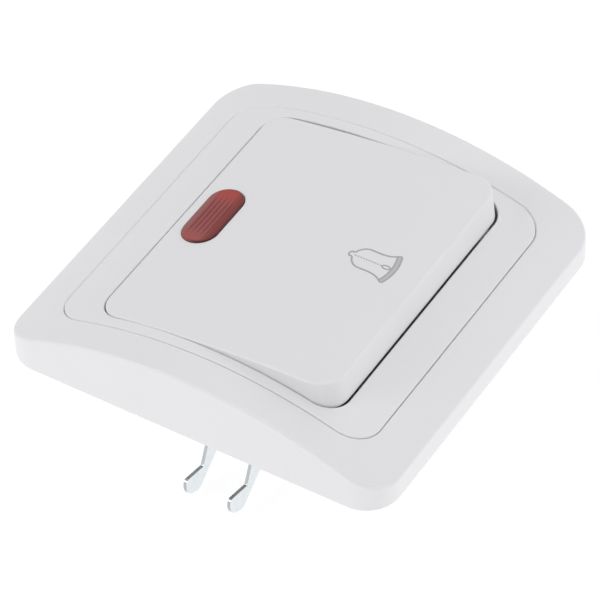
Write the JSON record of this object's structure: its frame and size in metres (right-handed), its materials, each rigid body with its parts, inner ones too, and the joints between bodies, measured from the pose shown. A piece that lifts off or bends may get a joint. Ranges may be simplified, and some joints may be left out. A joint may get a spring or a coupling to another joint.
{
  "type": "doorbell push button",
  "caption": "Flush-mounted doorbell push with an arched square frame, a wide tilting key with a red indicator lens, and claw fixings behind.",
  "frame": {"origin": "centre of the mounting plate's back face, on the wall plane", "axes": "+Z out of the wall, +Y up the wall, +X to the right"},
  "size_m": [0.082, 0.083, 0.043],
  "materials": {
    "white_frame": "satin moulded",
    "white_key": "satin moulded",
    "red_lens": "translucent, fine ribs",
    "grey_plastic": "fine matt moulded",
    "zinc_steel": "bright zinc plated",
    "brass": "bright stamped",
    "contact_silver": "bright",
    "spring_steel": "drawn wire",
    "lamp_glass": "clear",
    "lead_wire": "tinned",
    "resistor_body": "lacquered"
  },
  "bodies": {
    "mechanism": {"outer_frame": "white_frame", "inner_bezel": "white_frame", "base_housing": "grey_plastic", "mounting_plate": "zinc_steel", "return_spring": "spring_steel", "neon_lamp": "lamp_glass", "lamp_lead_left": "lead_wire", "lamp_lead_right": "lead_wire", "resistor_lead": "lead_wire", "lamp_resistor": "resistor_body", "rivet_upper_left": "zinc_steel", "rivet_upper_right": "zinc_steel", "rivet_lower_left": "zinc_steel", "rivet_lower_right": "zinc_steel", "terminal_left": "brass", "terminal_clamp_left": "zinc_steel", "terminal_screw_left": "zinc_steel", "fixed_contact_left": "contact_silver", "terminal_right": "brass", "terminal_clamp_right": "zinc_steel", "terminal_screw_right": "zinc_steel", "fixed_contact_right": "contact_silver"},
    "rocker": {"rocker_key": "white_key", "indicator_lens": "red_lens", "rocker_cradle": "grey_plastic", "contact_leaf": "brass", "moving_contact_left": "contact_silver", "moving_contact_right": "contact_silver"},
    "claw_left_body": {"claw_left": "zinc_steel"},
    "claw_screw_left_body": {"claw_screw_left": "zinc_steel"},
    "claw_right_body": {"claw_right": "zinc_steel"},
    "claw_screw_right_body": {"claw_screw_right": "zinc_steel"}
  },
  "joints": [
    {"name": "rocker_press", "type": "hinge", "parent": "mechanism", "child": "rocker", "pos_m": [0, 0, 0.007], "axis": [1, 0, 0], "range_deg": [0, 5.7], "stiffness_Nm_per_rad": 0.2, "springref_deg": -8.59, "deforming": ["return_spring"]},
    {"name": "claw_screw_left_turn", "type": "hinge", "parent": "mechanism", "child": "claw_screw_left_body", "pos_m": [-0.02305, 0, 0.001], "axis": [0, 0, -1], "range_deg": [-1255.4, 502.2]},
    {"name": "claw_left_spread", "type": "hinge", "parent": "mechanism", "child": "claw_left_body", "pos_m": [-0.01905, 0, -0.0042], "axis": [0, 1, 0], "range_deg": [-25, 10]},
    {"name": "claw_screw_right_turn", "type": "hinge", "parent": "mechanism", "child": "claw_screw_right_body", "pos_m": [0.02305, 0, 0.001], "axis": [0, 0, -1], "range_deg": [-1255.4, 502.2]},
    {"name": "claw_right_spread", "type": "hinge", "parent": "mechanism", "child": "claw_right_body", "pos_m": [0.01905, 0, -0.0042], "axis": [0, -1, 0], "range_deg": [-25, 10]}
  ],
  "couplings": [
    {"joint": "claw_left_spread", "follows": "claw_screw_left_turn", "ratio": 0.019894},
    {"joint": "claw_right_spread", "follows": "claw_screw_right_turn", "ratio": 0.019894}
  ]
}
